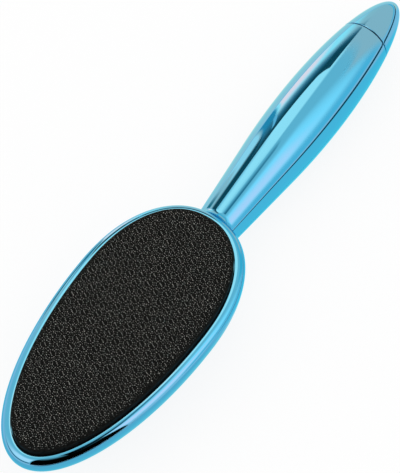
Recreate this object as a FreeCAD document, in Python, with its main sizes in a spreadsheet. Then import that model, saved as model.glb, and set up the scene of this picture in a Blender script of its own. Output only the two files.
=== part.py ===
import FreeCAD, Part

import math
import os
import re

import Sketcher
from FreeCAD import Vector

# Foot file: an egg-shaped file plate set in the rim of a bowl-backed head, on a spindle handle
# whose tip pulls off. X runs from the head to the tip, Z is up with the file plate on top, and
# the origin lies on the table under the widest station of the head.

# Driving sizes in millimetres.
SIZES = {
    # head from above: two half ellipses that share one width
    "head_front_reach": 79.2,
    "head_back_reach": 46.8,
    "head_width": 60.4,
    # head from the side: a bowl cut flat to stand on, widest under a rounded rim
    "lip_rise": 12.4,
    "rim_radius": 3.4,
    "rim_width": 4.2,
    "lip_edge_radius": 0.25,
    "flat_cut": 2.0,
    "shell_wall": 2.2,
    "tray_floor": 2.6,
    # file plate and the sheet of tape that holds it
    "plate_thickness": 5.0,
    "plate_proud": 3.4,
    "plate_edge_radius": 1.1,
    "plate_gap": 0.15,
    "tape_thickness": 0.5,
    "tape_inset": 1.5,
    # handle: a cone from the neck, a long sweep to the belly, half an ellipse to the tip
    "handle_radius": 13.6,
    "neck_root_reach": 24.0,
    "neck_root_radius": 6.65,
    "sweep_radius": 313.0,
    "belly_reach": 112.0,
    "nose_length": 62.8,
    # seam between the handle and its tip
    "cap_length": 23.4,
    "seam_gap": 0.3,
    "seam_edge_radius": 0.45,
    # plug that closes the handle and carries the tip
    "plug_radius": 5.0,
    "plug_seat": 12.0,
    "plug_reach": 10.0,
    "plug_core_radius": 2.4,
    "plug_end_wall": 2.0,
    "flange_radius": 7.0,
    "flange_width": 2.4,
    "flange_setback": 6.0,
    "seat_gap": 0.05,
    # rubber ring in the plug's groove
    "ring_section": 1.5,
    "ring_setback": 5.0,
    "ring_gap": 0.05,
    # sleeve inside the tip
    "liner_wall": 1.4,
    "liner_gap": 0.1,
    "cap_bore_end_gap": 0.6,
    # screws under the plate and the bosses that they bite
    "screw_shank_radius": 1.3,
    "screw_length": 9.5,
    "screw_head_radius": 2.5,
    "screw_head_height": 1.2,
    "screw_slot_width": 0.7,
    "screw_slot_depth": 0.7,
    "screw_gap": 0.2,
    "thread_gap": 0.05,
    "boss_radius": 3.4,
    "pilot_spare": 1.0,
    "front_screw_reach": 46.0,
    "back_screw_reach": 25.0,
    "side_screw_reach": 8.0,
    "side_screw_spread": 15.0,
    # peg and socket that line up the shells at the belly
    "peg_radius": 2.0,
    "peg_length": 5.0,
    "peg_gap": 0.05,
    "post_radius": 4.0,
    # how far a cutting shape runs past what it cuts
    "overrun": 1.0,
}

# Heights and stations worked out from the sizes. The handle's belly and the bowl's flat both
# touch the table, and the lip stands a set height over the handle's axis.
AXIS_LEVEL = "handle_radius"
LIP = f"({AXIS_LEVEL} + lip_rise)"
EQUATOR = f"({LIP} - rim_radius)"
BOWL_DEPTH = f"({EQUATOR} + flat_cut)"
RECESS_DEPTH = "(plate_thickness - plate_proud + tape_thickness)"
TRAY_TOP = f"({LIP} - {RECESS_DEPTH})"
TRAY_UNDERSIDE = f"({TRAY_TOP} - tray_floor)"
TIP = "(belly_reach + nose_length)"
SEAM = f"({TIP} - cap_length)"
BULKHEAD = f"({SEAM} - plug_seat)"
PLUG_END = f"({SEAM} + plug_reach)"
FLANGE_START = f"({SEAM} - flange_setback)"
LINER_BORE = "(plug_radius + liner_gap)"
LINER_RADIUS = f"({LINER_BORE} + liner_wall)"
RING_CENTRE_RADIUS = f"({LINER_BORE} - ring_gap - ring_section / 2)"
RING_CENTRE = f"({SEAM} + ring_setback)"

SCREW_PLACES = (
    ("-front_screw_reach", "0"),
    ("back_screw_reach", "0"),
    ("-side_screw_reach", "side_screw_spread"),
    ("-side_screw_reach", "-side_screw_spread"),
)
LOWER_OUTLINE_COUNT = 6
UPPER_OUTLINE_COUNT = 3
HALF_TURN = "180"
FULL_TURN = "360"
# two lengths match when they differ by less than this share of the overrun
MATCH_SHARE = 0.001

doc = FreeCAD.newDocument("foot_file")
sheet = doc.addObject("Spreadsheet::Sheet", "sizes")
for row, (alias, size) in enumerate(SIZES.items(), 1):
    sheet.set(f"A{row}", alias)
    sheet.set(f"B{row}", str(size))
    sheet.setAlias(f"B{row}", alias)
doc.recompute()


def formula(text):
    """A formula of size names, spelled as the document's expressions spell it."""
    return re.sub(r"[a-z]\w+", lambda word: f"sizes.{word[0]}" if word[0] in SIZES else word[0], text)


def value(text):
    """The number that a formula of size names gives."""
    result = sheet.evalExpression(formula(text))
    return getattr(result, "Value", result)


def bind(thing, path, text):
    """Tie one property of an object to a formula of size names."""
    thing.setExpression(path, formula(text))


def new_body(label):
    body = doc.addObject("PartDesign::Body", label)
    body.Label = label
    return body


def new_sketch(body, name, level="0", along="0", across="0"):
    """A level sketch in a body: its own origin at the station, offset and height given."""
    sketch = body.newObject("Sketcher::SketchObject", name)
    plane = next(item for item in body.Origin.OriginFeatures if item.Role == "XY_Plane")
    sketch.AttachmentSupport = [(plane, "")]
    sketch.MapMode = "FlatFace"
    bind(sketch, ".AttachmentOffset.Base.x", along)
    bind(sketch, ".AttachmentOffset.Base.y", across)
    bind(sketch, ".AttachmentOffset.Base.z", level)
    return sketch


def dimension(sketch, kind, *where, size):
    """Add a dimension to a sketch and tie it to its formula."""
    index = sketch.addConstraint(Sketcher.Constraint(kind, *where, value(size)))
    bind(sketch, f"Constraints[{index}]", size)


def join(sketch, *pairs):
    """Join ends of sketch curves: each pair is (curve, end, curve, end)."""
    for pair in pairs:
        sketch.addConstraint(Sketcher.Constraint("Coincident", *pair))


# how a sketch numbers the points of a curve, its own two axes and its origin
START, END, CENTRE = range(1, 4)
X_AXIS, Y_AXIS = range(-1, -3, -1)
ORIGIN = (X_AXIS, START)


def add_ellipse_arc(sketch, centre, along, across, first, last):
    """An arc of an ellipse lying along the sketch's X axis, with both its diameters set."""
    middle = Vector(value(centre), 0, 0)
    tip = middle + Vector(value(along), 0, 0)
    side = middle + Vector(0, value(across), 0)
    arc = sketch.addGeometry(Part.ArcOfEllipse(Part.Ellipse(tip, side, middle), first, last))
    sketch.exposeInternalGeometry(arc)
    long_axis, short_axis = arc + 1, arc + 2
    sketch.addConstraint(Sketcher.Constraint("Horizontal", long_axis))
    dimension(sketch, "Distance", long_axis, size=f"2 * {along}")
    return arc, short_axis


def egg_sketch(body, name, level, inset="0", scale="1"):
    """The head's outline at one level: drawn in by an inset, then shrunk by a scale."""
    sketch = new_sketch(body, name, level)
    front = f"((head_front_reach - {inset}) * {scale})"
    back = f"((head_back_reach - {inset}) * {scale})"
    half = f"((head_width / 2 - {inset}) * {scale})"
    front_arc, front_width = add_ellipse_arc(sketch, "0", front, half, math.pi / 2, 3 * math.pi / 2)
    dimension(sketch, "Distance", front_width, size=f"2 * {half}")
    back_arc, _ = add_ellipse_arc(sketch, "0", back, half, -math.pi / 2, math.pi / 2)
    join(sketch, (front_arc, CENTRE, *ORIGIN), (back_arc, CENTRE, *ORIGIN), (back_arc, END, front_arc, START))
    for arc, end in ((front_arc, START), (front_arc, END), (back_arc, START)):
        sketch.addConstraint(Sketcher.Constraint("PointOnObject", arc, end, Y_AXIS))
    return sketch


def circle_sketch(body, name, radius, level, along, across="0"):
    sketch = new_sketch(body, name, level, along, across)
    circle = sketch.addGeometry(Part.Circle(Vector(0, 0, 0), Vector(0, 0, 1), value(radius)))
    join(sketch, (circle, CENTRE, *ORIGIN))
    dimension(sketch, "Radius", circle, size=radius)
    return sketch


def band_sketch(body, name, start, end, radius):
    """A rectangle on the handle's axis, from one station to another and out to a radius."""
    sketch = new_sketch(body, name, AXIS_LEVEL)
    near, far, out = value(start), value(end), value(radius)
    corners = [Vector(near, 0, 0), Vector(far, 0, 0), Vector(far, out, 0), Vector(near, out, 0)]
    axis, far_side, top, near_side = (
        sketch.addGeometry(Part.LineSegment(corners[i - 1], corners[i])) for i in (1, 2, 3, 0)
    )
    join(sketch, (axis, END, far_side, START), (far_side, END, top, START))
    join(sketch, (top, END, near_side, START), (near_side, END, axis, START))
    for line in (axis, top):
        sketch.addConstraint(Sketcher.Constraint("Horizontal", line))
    for line in (far_side, near_side):
        sketch.addConstraint(Sketcher.Constraint("Vertical", line))
    sketch.addConstraint(Sketcher.Constraint("PointOnObject", axis, START, X_AXIS))
    dimension(sketch, "DistanceX", *ORIGIN, axis, START, size=start)
    dimension(sketch, "DistanceX", *ORIGIN, axis, END, size=end)
    dimension(sketch, "DistanceY", far_side, START, far_side, END, size=radius)
    return sketch


def nose_share(station, inset):
    """How far along the half ellipse a station lies, as the cosine of its angle."""
    return value(f"({station} - belly_reach) / (nose_length - {inset})")


def handle_sketch(body, name, end, inset="0"):
    """Half the handle's profile, from the neck's root to a station, drawn in by a wall."""
    sketch = new_sketch(body, name, AXIS_LEVEL)
    root_x, root_r = value("neck_root_reach"), value(f"neck_root_radius - {inset}")
    belly_x, belly_r = value("belly_reach"), value(f"handle_radius - {inset}")
    sweep_r, end_x = value(f"sweep_radius - {inset}"), value(end)
    sweep_centre = Vector(belly_x, belly_r - sweep_r, 0)
    root = Vector(root_x, root_r, 0)
    to_root = root - sweep_centre
    neck_angle = math.atan2(to_root.y, to_root.x) - math.acos(sweep_r / to_root.Length)
    neck_end = sweep_centre + Vector(math.cos(neck_angle), math.sin(neck_angle), 0) * sweep_r
    end_angle = math.acos(nose_share(end, inset))
    end_r = belly_r * math.sin(end_angle)

    axis = sketch.addGeometry(Part.LineSegment(Vector(root_x, 0, 0), Vector(end_x, 0, 0)))
    end_face = sketch.addGeometry(Part.LineSegment(Vector(end_x, 0, 0), Vector(end_x, end_r, 0)))
    nose_long = f"(nose_length - {inset})"
    belly = f"(handle_radius - {inset})"
    nose, nose_width = add_ellipse_arc(sketch, "belly_reach", nose_long, belly, end_angle, math.pi / 2)
    dimension(sketch, "Distance", nose_width, size=f"2 * {belly}")
    circle = Part.Circle(sweep_centre, Vector(0, 0, 1), sweep_r)
    sweep = sketch.addGeometry(Part.ArcOfCircle(circle, math.pi / 2, neck_angle))
    neck = sketch.addGeometry(Part.LineSegment(neck_end, root))
    root_face = sketch.addGeometry(Part.LineSegment(root, Vector(root_x, 0, 0)))

    join(sketch, (axis, END, end_face, START), (end_face, END, nose, START), (nose, END, sweep, START))
    sketch.addConstraint(Sketcher.Constraint("Tangent", sweep, END, neck, START))
    join(sketch, (neck, END, root_face, START), (root_face, END, axis, START))
    for curve, point in ((axis, START), (axis, END), (nose, CENTRE)):
        sketch.addConstraint(Sketcher.Constraint("PointOnObject", curve, point, X_AXIS))
    for line in (end_face, root_face):
        sketch.addConstraint(Sketcher.Constraint("Vertical", line))
    sketch.addConstraint(Sketcher.Constraint("Vertical", nose, CENTRE, nose, END))
    sketch.addConstraint(Sketcher.Constraint("Vertical", nose, CENTRE, sweep, CENTRE))
    dimension(sketch, "DistanceX", *ORIGIN, axis, START, size="neck_root_reach")
    dimension(sketch, "DistanceX", *ORIGIN, axis, END, size=end)
    dimension(sketch, "DistanceX", *ORIGIN, nose, CENTRE, size="belly_reach")
    dimension(sketch, "Radius", sweep, size=f"sweep_radius - {inset}")
    dimension(sketch, "DistanceY", root_face, END, root_face, START, size=f"neck_root_radius - {inset}")
    return sketch


def nose_sketch(body, name, start):
    """Half the tip's profile, from a station to the point."""
    sketch = new_sketch(body, name, AXIS_LEVEL)
    start_x, tip_x = value(start), value(TIP)
    start_angle = math.acos(nose_share(start, "0"))
    start_r = value("handle_radius") * math.sin(start_angle)
    axis = sketch.addGeometry(Part.LineSegment(Vector(start_x, 0, 0), Vector(tip_x, 0, 0)))
    nose, nose_width = add_ellipse_arc(
        sketch, "belly_reach", "nose_length", "handle_radius", 0, start_angle
    )
    dimension(sketch, "Distance", nose_width, size="2 * handle_radius")
    face = sketch.addGeometry(Part.LineSegment(Vector(start_x, start_r, 0), Vector(start_x, 0, 0)))
    join(sketch, (axis, END, nose, START), (nose, END, face, START), (face, END, axis, START))
    for curve, point in ((axis, START), (axis, END), (nose, CENTRE)):
        sketch.addConstraint(Sketcher.Constraint("PointOnObject", curve, point, X_AXIS))
    sketch.addConstraint(Sketcher.Constraint("Vertical", face))
    dimension(sketch, "DistanceX", *ORIGIN, axis, START, size=start)
    dimension(sketch, "DistanceX", *ORIGIN, nose, CENTRE, size="belly_reach")
    return sketch


def extrude(body, kind, sketch, length, downward=False):
    """A Pad or a Pocket of a level sketch, up or down by a length."""
    feature = body.newObject(f"PartDesign::{kind}", f"{sketch.Name}_{kind.lower()}")
    feature.Profile = sketch
    bind(feature, "Length", length)
    feature.Reversed = downward != (kind == "Pocket")
    doc.recompute()
    return feature


def turn(body, kind, sketch, angle, below=False):
    """A Revolution or a Groove of a profile about the handle's axis."""
    feature = body.newObject(f"PartDesign::{kind}", f"{sketch.Name}_{kind.lower()}")
    feature.Profile = sketch
    feature.ReferenceAxis = (sketch, ["H_Axis"])
    bind(feature, "Angle", angle)
    feature.Reversed = below
    doc.recompute()
    return feature


def bowl(body, name, count, low, high, inset="0"):
    """A stretch of the head's bowl between two levels, as a loft through shrunken outlines."""
    depth = f"({BOWL_DEPTH} - {inset})"
    low_angle = f"asin(({EQUATOR} - {low}) / {depth})"
    high_angle = f"asin(({EQUATOR} - {high}) / {depth})"
    outlines = []
    for step in range(count):
        angle = f"({low_angle} + ({high_angle} - {low_angle}) * {step} / {count - 1})"
        level = f"{EQUATOR} - {depth} * sin({angle})"
        outlines.append(egg_sketch(body, f"{name}_{step}", level, inset, f"cos({angle})"))
    loft = body.newObject("PartDesign::AdditiveLoft", name)
    loft.Profile = outlines[0]
    loft.Sections = outlines[1:]
    doc.recompute()
    return loft


def edges_where(shape, test):
    return [f"Edge{number}" for number, edge in enumerate(shape.Edges, 1) if test(edge)]


def same(first, second):
    return math.isclose(first, second, abs_tol=MATCH_SHARE * value("overrun"))


def round_edges(body, name, radius, test):
    """Fillet the edges of a body that pass a test."""
    base = body.Tip
    fillet = body.newObject("PartDesign::Fillet", name)
    fillet.Base = (base, edges_where(base.Shape, test))
    bind(fillet, "Radius", radius)
    doc.recompute()


def flat_at(level):
    """A test for edges that lie in one level plane."""

    def test(edge):
        return same(edge.BoundBox.ZMin, value(level)) and same(edge.BoundBox.ZMax, value(level))

    return test


def lip_edge(edge):
    """Whether an edge is the lip's inner edge, round the plate."""
    inner_half = value("head_width / 2 - rim_width")
    return flat_at(LIP)(edge) and same(abs(edge.Vertexes[0].Y), inner_half)


def round_at(station, radius_above):
    """A test for round edges square to the handle's axis, over a radius."""

    def test(edge):
        at_station = same(edge.BoundBox.XMin, value(station)) and same(edge.BoundBox.XMax, value(station))
        return at_station and isinstance(edge.Curve, Part.Circle) and edge.Curve.Radius > value(radius_above)

    return test


def hollow(body, cavity):
    """Cut a cavity's solid out of a shell."""
    cut = body.newObject("PartDesign::Boolean", f"{cavity.Name}_cut")
    cut.Type = "Cut"
    cut.setObjects([cavity])
    doc.recompute()


def plug_room(body, below):
    """The half bore and half groove that hold the plug and its flange."""
    bore = band_sketch(
        body, f"{body.Name}_bore", f"{BULKHEAD} - overrun", f"{SEAM} + overrun", "plug_radius + seat_gap"
    )
    turn(body, "Revolution", bore, HALF_TURN, below)
    groove = band_sketch(
        body,
        f"{body.Name}_groove",
        f"{FLANGE_START} - seat_gap",
        f"{FLANGE_START} + flange_width + seat_gap",
        "flange_radius + seat_gap",
    )
    turn(body, "Revolution", groove, HALF_TURN, below)


def make_upper_shell():
    """Rim, tray and the upper half of the handle, in one moulding."""
    cavity = new_body("upper_cavity")
    bowl(cavity, "upper_inside", UPPER_OUTLINE_COUNT, AXIS_LEVEL, TRAY_UNDERSIDE, "shell_wall")
    turn(cavity, "Revolution", handle_sketch(cavity, "upper_hollow", BULKHEAD, "shell_wall"), HALF_TURN)
    plug_room(cavity, below=False)
    post = circle_sketch(cavity, "upper_post", "post_radius", AXIS_LEVEL, "belly_reach")
    extrude(cavity, "Pocket", post, "handle_radius")

    body = new_body("upper_shell")
    bowl(body, "upper_bowl", UPPER_OUTLINE_COUNT, AXIS_LEVEL, EQUATOR)
    extrude(body, "Pad", egg_sketch(body, "rim_band", EQUATOR), "rim_radius")
    round_edges(body, "rim_round", "rim_radius", flat_at(LIP))
    turn(body, "Revolution", handle_sketch(body, "upper_handle", SEAM), HALF_TURN)
    recess = egg_sketch(body, "plate_recess", LIP, "rim_width")
    extrude(body, "Pocket", recess, RECESS_DEPTH, downward=True)
    round_edges(body, "lip_round", "lip_edge_radius", lip_edge)
    hollow(body, cavity)
    for number, (along, across) in enumerate(SCREW_PLACES, 1):
        head = circle_sketch(
            body, f"head_room_{number}", "screw_head_radius + screw_gap", TRAY_TOP, along, across
        )
        extrude(body, "Pocket", head, "screw_head_height", downward=True)
        hole = circle_sketch(
            body, f"screw_hole_{number}", "screw_shank_radius + screw_gap", TRAY_TOP, along, across
        )
        extrude(body, "Pocket", hole, "tray_floor + overrun", downward=True)
    peg = circle_sketch(body, "locating_peg", "peg_radius", AXIS_LEVEL, "belly_reach")
    extrude(body, "Pad", peg, "peg_length", downward=True)
    round_edges(body, "upper_seam_round", "seam_edge_radius", round_at(SEAM, "flange_radius"))
    return body


def make_lower_shell():
    """Bowl bottom and the lower half of the handle, with the screw bosses and the peg's socket."""
    cavity = new_body("lower_cavity")
    bowl(cavity, "lower_inside", LOWER_OUTLINE_COUNT, "shell_wall", AXIS_LEVEL, "shell_wall")
    profile = handle_sketch(cavity, "lower_hollow", BULKHEAD, "shell_wall")
    turn(cavity, "Revolution", profile, HALF_TURN, below=True)
    plug_room(cavity, below=True)
    for number, (along, across) in enumerate(SCREW_PLACES, 1):
        boss = circle_sketch(cavity, f"boss_room_{number}", "boss_radius", AXIS_LEVEL, along, across)
        extrude(cavity, "Pocket", boss, AXIS_LEVEL, downward=True)
    post = circle_sketch(cavity, "lower_post", "post_radius", AXIS_LEVEL, "belly_reach")
    extrude(cavity, "Pocket", post, AXIS_LEVEL, downward=True)

    body = new_body("lower_shell")
    bowl(body, "lower_bowl", LOWER_OUTLINE_COUNT, "0", AXIS_LEVEL)
    turn(body, "Revolution", handle_sketch(body, "lower_handle", SEAM), HALF_TURN, below=True)
    hollow(body, cavity)
    for number, (along, across) in enumerate(SCREW_PLACES, 1):
        boss = circle_sketch(body, f"boss_{number}", "boss_radius", AXIS_LEVEL, along, across)
        extrude(body, "Pad", boss, f"{TRAY_UNDERSIDE} - {AXIS_LEVEL}")
        pilot = circle_sketch(
            body, f"pilot_{number}", "screw_shank_radius + thread_gap", TRAY_UNDERSIDE, along, across
        )
        depth = "screw_length + screw_head_height - tray_floor + pilot_spare"
        extrude(body, "Pocket", pilot, depth, downward=True)
    socket = circle_sketch(body, "peg_socket", "peg_radius + peg_gap", AXIS_LEVEL, "belly_reach")
    extrude(body, "Pocket", socket, "peg_length + peg_gap", downward=True)
    round_edges(body, "lower_seam_round", "seam_edge_radius", round_at(SEAM, "flange_radius"))
    return body


def make_file_plate():
    """Thick egg-shaped plate with a rounded top edge, proud of the rim."""
    body = new_body("file_plate")
    bottom = f"{TRAY_TOP} + tape_thickness"
    outline = egg_sketch(body, "plate_outline", bottom, "(rim_width + plate_gap)")
    extrude(body, "Pad", outline, "plate_thickness")
    round_edges(body, "plate_edge", "plate_edge_radius", flat_at(f"{bottom} + plate_thickness"))
    return body


def make_plate_tape():
    """Double-sided tape between the tray and the plate."""
    body = new_body("plate_tape")
    outline = egg_sketch(body, "tape_outline", TRAY_TOP, "(rim_width + tape_inset)")
    extrude(body, "Pad", outline, "tape_thickness")
    return body


def placed(shape, along, across, level):
    """Place a primitive by formulas."""
    for axis, text in zip("xyz", (along, across, level)):
        bind(shape, f".Placement.Base.{axis}", text)
    return shape


def cylinder(name, radius, height):
    shape = doc.addObject("Part::Cylinder", name)
    bind(shape, "Radius", radius)
    bind(shape, "Height", height)
    return shape


def make_shell_screws():
    """Slotted pan-head screws, sunk in the tray under the plate."""
    screws = []
    seat = f"({TRAY_TOP} - screw_head_height)"
    for number, (along, across) in enumerate(SCREW_PLACES, 1):
        head = cylinder(f"screw_head_{number}", "screw_head_radius", "screw_head_height")
        placed(head, along, across, seat)
        shank = cylinder(f"screw_shank_{number}", "screw_shank_radius", "screw_length")
        placed(shank, along, across, f"{seat} - screw_length")
        blank = doc.addObject("Part::Fuse", f"screw_blank_{number}")
        blank.Base, blank.Tool = head, shank
        slot = doc.addObject("Part::Box", f"screw_slot_{number}")
        bind(slot, "Length", "2 * screw_head_radius + 2 * overrun")
        bind(slot, "Width", "screw_slot_width")
        bind(slot, "Height", "screw_slot_depth + overrun")
        placed(
            slot,
            f"{along} - screw_head_radius - overrun",
            f"{across} - screw_slot_width / 2",
            f"{TRAY_TOP} - screw_slot_depth",
        )
        screw = doc.addObject("Part::Cut", f"screw_{number}")
        screw.Base, screw.Tool = blank, slot
        screws.append(screw)
    group = doc.addObject("Part::Compound", "shell_screws")
    group.Links = screws
    return group


def make_end_plug():
    """Plug clamped between the shells: a flange in their groove, a closed spigot past the seam."""
    body = new_body("end_plug")
    turn(body, "Revolution", band_sketch(body, "plug_spigot", BULKHEAD, PLUG_END, "plug_radius"), FULL_TURN)
    flange = band_sketch(
        body, "plug_flange", FLANGE_START, f"{FLANGE_START} + flange_width", "flange_radius"
    )
    turn(body, "Revolution", flange, FULL_TURN)
    core = band_sketch(
        body, "plug_core", f"{BULKHEAD} - overrun", f"{PLUG_END} - plug_end_wall", "plug_core_radius"
    )
    turn(body, "Groove", core, FULL_TURN)
    ring_room = new_body("ring_room")
    half_width = "(ring_section / 2 + ring_gap)"
    outer = band_sketch(
        ring_room,
        "ring_room_outer",
        f"{RING_CENTRE} - {half_width}",
        f"{RING_CENTRE} + {half_width}",
        "plug_radius + overrun",
    )
    turn(ring_room, "Revolution", outer, FULL_TURN)
    inner = band_sketch(
        ring_room,
        "ring_room_inner",
        f"{RING_CENTRE} - {half_width} - overrun",
        f"{RING_CENTRE} + {half_width} + overrun",
        f"{RING_CENTRE_RADIUS} - {half_width}",
    )
    turn(ring_room, "Groove", inner, FULL_TURN)
    hollow(body, ring_room)
    return body


def make_plug_ring():
    """Rubber ring that grips the sleeve in the tip."""
    ring = doc.addObject("Part::Torus", "plug_ring")
    bind(ring, "Radius1", RING_CENTRE_RADIUS)
    bind(ring, "Radius2", "ring_section / 2")
    ring.Placement.Rotation = FreeCAD.Rotation(Vector(0, 1, 0), 90)
    return placed(ring, RING_CENTRE, "0", AXIS_LEVEL)


def make_tip_cap():
    """Tip of the handle, bored for its sleeve."""
    body = new_body("tip_cap")
    start = f"({SEAM} + seam_gap)"
    turn(body, "Revolution", nose_sketch(body, "cap_profile", start), FULL_TURN)
    bore = band_sketch(
        body, "cap_bore", f"{start} - overrun", f"{PLUG_END} + cap_bore_end_gap", f"{LINER_RADIUS} + seat_gap"
    )
    turn(body, "Groove", bore, FULL_TURN)
    round_edges(body, "cap_edge", "seam_edge_radius", round_at(start, "flange_radius"))
    return body


def make_cap_liner():
    """Sleeve pressed into the tip, which slides on the plug."""
    body = new_body("cap_liner")
    start = f"({SEAM} + seam_gap)"
    end = f"{PLUG_END} + cap_bore_end_gap"
    turn(body, "Revolution", band_sketch(body, "liner_outside", start, end, LINER_RADIUS), FULL_TURN)
    bore = band_sketch(body, "liner_inside", f"{start} - overrun", f"{end} + overrun", LINER_BORE)
    turn(body, "Groove", bore, FULL_TURN)
    return body


parts = [
    make_upper_shell(),
    make_lower_shell(),
    make_file_plate(),
    make_plate_tape(),
    make_shell_screws(),
    make_end_plug(),
    make_plug_ring(),
    make_tip_cap(),
    make_cap_liner(),
]
doc.recompute()

failed = [item.Label for item in doc.Objects if {"Invalid", "Error"} & set(item.State)]
if failed:
    raise RuntimeError(f"these objects did not compute: {failed}")
for part in parts:
    if part.Shape.isNull() or not part.Shape.isValid():
        raise RuntimeError(f"{part.Label} has no valid shape")

os.makedirs("parts", exist_ok=True)
for part in parts:
    part.Shape.exportStep(f"parts/{part.Label}.step")
    print(f"{part.Label}: {len(part.Shape.Solids)} solid(s), {part.Shape.Volume:.1f} mm3")
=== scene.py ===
import math
import random

import bmesh
import bpy
import numpy as np
from mathutils import Matrix, Vector


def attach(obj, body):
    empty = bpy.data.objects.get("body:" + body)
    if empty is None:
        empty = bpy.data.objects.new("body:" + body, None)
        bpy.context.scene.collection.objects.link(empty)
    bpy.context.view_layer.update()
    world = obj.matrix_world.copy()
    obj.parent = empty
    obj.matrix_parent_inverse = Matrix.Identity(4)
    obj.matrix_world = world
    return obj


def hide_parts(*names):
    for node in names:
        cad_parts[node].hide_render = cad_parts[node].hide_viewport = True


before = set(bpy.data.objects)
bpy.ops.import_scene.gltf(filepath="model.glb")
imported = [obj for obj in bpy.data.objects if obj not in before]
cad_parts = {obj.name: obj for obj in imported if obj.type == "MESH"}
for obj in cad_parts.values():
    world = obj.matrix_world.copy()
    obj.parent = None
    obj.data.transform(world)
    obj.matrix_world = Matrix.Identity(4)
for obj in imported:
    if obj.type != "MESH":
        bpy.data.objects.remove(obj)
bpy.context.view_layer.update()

# Foot file: an egg-shaped rasp plate in a blue electroplated shell, on a spindle handle whose tip
# pulls off. Sizes are in millimetres, as in the CAD source; meshes are made in metres.
MM = 0.001
Z_UP = Vector((0, 0, 1))

# Head: the halves of its outline meet at x = 0, and the back one is a little squarer than an
# ellipse, whose power is 2
HEAD_FRONT = 79.2
HEAD_BACK = 45.4
HEAD_HALF = 30.2
FRONT_POWER = 2.0
BACK_POWER = 2.2
RIM_RADIUS = 3.2
RIM_WIDTH = 4.1
LIP_EDGE_RADIUS = 0.25
SHELL_WALL = 2.2
TRAY_FLOOR = 2.6
AXIS_LEVEL = 13.6
LIP_ABOVE_AXIS = 12.4
LIP = AXIS_LEVEL + LIP_ABOVE_AXIS
EQUATOR = LIP - RIM_RADIUS
# the bowl is part of an ellipsoid that would reach this far below the flat it rests on
BOWL_CUT_OFF = 2.0
BOWL_DEPTH = EQUATOR + BOWL_CUT_OFF

# File plate
PLATE_THICKNESS = 4.6
PLATE_PROUD = 3.0
PLATE_EDGE_RADIUS = 1.1
PLATE_GAP = 0.15
PLATE_INSET = RIM_WIDTH + PLATE_GAP
PLATE_TOP = LIP + PLATE_PROUD
PLATE_BOTTOM = PLATE_TOP - PLATE_THICKNESS
TAPE_ROOM = 0.5
TRAY_TOP = PLATE_BOTTOM - TAPE_ROOM
TRAY_UNDERSIDE = TRAY_TOP - TRAY_FLOOR

# Handle: a straight neck, a long sweep to the belly, and half an ellipse to the tip
BELLY_RADIUS = 13.6
BELLY_REACH = 112.0
NOSE_LENGTH = 62.8
NECK_ROOT_REACH = 24.0
NECK_ROOT_RADIUS = 6.65
SWEEP_RADIUS = 313.0
TIP = BELLY_REACH + NOSE_LENGTH

# Round between the neck and the head: its radius at the sides and on top, the most that it turns
# through, and the share of the corner that it may fill
NECK_FILLET_SIDE = 2.2
NECK_FILLET_TOP = 4.0
NECK_FILLET_SWEEP = math.radians(58)
NECK_FILLET_SHARE = 0.95
# how far its foot is sunk into the head's wall
NECK_FOOT_SINK = 0.05
# the handle is closed inside the head, this far behind the wall and drawn in to this share
NECK_END_SINK = 2.0
NECK_END_SHARE = 0.7

# Seam between handle and tip, and the rooms for the plug and the tip's sleeve
CAP_LENGTH = 23.4
SEAM = TIP - CAP_LENGTH
SEAM_GAP = 0.42
CAP_START = SEAM + SEAM_GAP
SEAM_EDGE_RADIUS = 0.3
PLUG_DEPTH = 12.0
BULKHEAD = SEAM - PLUG_DEPTH
PLUG_BORE = 5.05
FLANGE_BORE = 7.05
FLANGE_FAR_DEPTH = 6.05
FLANGE_NEAR_DEPTH = 3.55
FLANGE_START = SEAM - FLANGE_FAR_DEPTH
FLANGE_END = SEAM - FLANGE_NEAR_DEPTH
BORE_OVERRUN = 1
CAP_BORE = 6.55
CAP_BORE_DEPTH = 10.6
CAP_BORE_END = SEAM + CAP_BORE_DEPTH

# Parting of the two shells: half the hairline that shows, and the blocks that part them
PARTING_HALF = 0.04
BLOCK_HALF = 400
BLOCK_TOP = 60
BLOCK_BOTTOM = -30

# How finely the meshes are divided
EGG_STEPS = 288
BOWL_ROWS = 40
RIM_ROWS = 18
RIM_FIRST_ANGLE = math.radians(5)
LIP_ROWS = 6
CAVITY_ROWS = 24
PLATE_SIDE_ROWS = 5
PLATE_EDGE_ROWS = 10
HANDLE_STEPS = 144
FILLET_ROWS = 14
# the neck's rings turn from the form of the head's wall to plain circles at this station, and lie
# closer together near the head
NECK_END = 70.0
NECK_ROWS = 26
NECK_ROW_POWER = 1.5
HANDLE_ROWS = 84
SEAM_ROWS = 7
CAP_ROWS = 60
CAP_SEAM_ROWS = 8
HOLLOW_ROWS = 60
# stations of the points that the fans of the head, and of the handle's end inside it, run to
HEAD_POLE = -10
HANDLE_POLE = 30
SMOOTH_ANGLE = math.radians(32)
# cosine of the most that a kept normal may lean from its face
KEPT_NORMAL_COSINE = 0.5
WALL_SOLVE_STEPS = 12
# half of 1 mm, so that the difference between two probes is a slope
WALL_PROBE = 0.5
LEAN_PROBE = 0.05

HANDLE_TURNS = [2 * math.pi * (i + 0.5) / HANDLE_STEPS for i in range(HANDLE_STEPS)]


def spread(first, last, count):
    """Evenly spread values from first to last, both included."""
    return [first + (last - first) * i / (count - 1) for i in range(count)]


# Mesh helpers


def new_object(name, mesh):
    piece = bpy.data.objects.new(name, mesh)
    bpy.context.scene.collection.objects.link(piece)
    return piece


def mesh_object(name, points, faces):
    """An object from points in millimetres, its faces turned outwards."""
    mesh = bpy.data.meshes.new(name)
    mesh.from_pydata([tuple(MM * c for c in p) for p in points], [], faces)
    shape = bmesh.new()
    shape.from_mesh(mesh)
    bmesh.ops.recalc_face_normals(shape, faces=shape.faces)
    shape.to_mesh(mesh)
    shape.free()
    return new_object(name, mesh)


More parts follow.
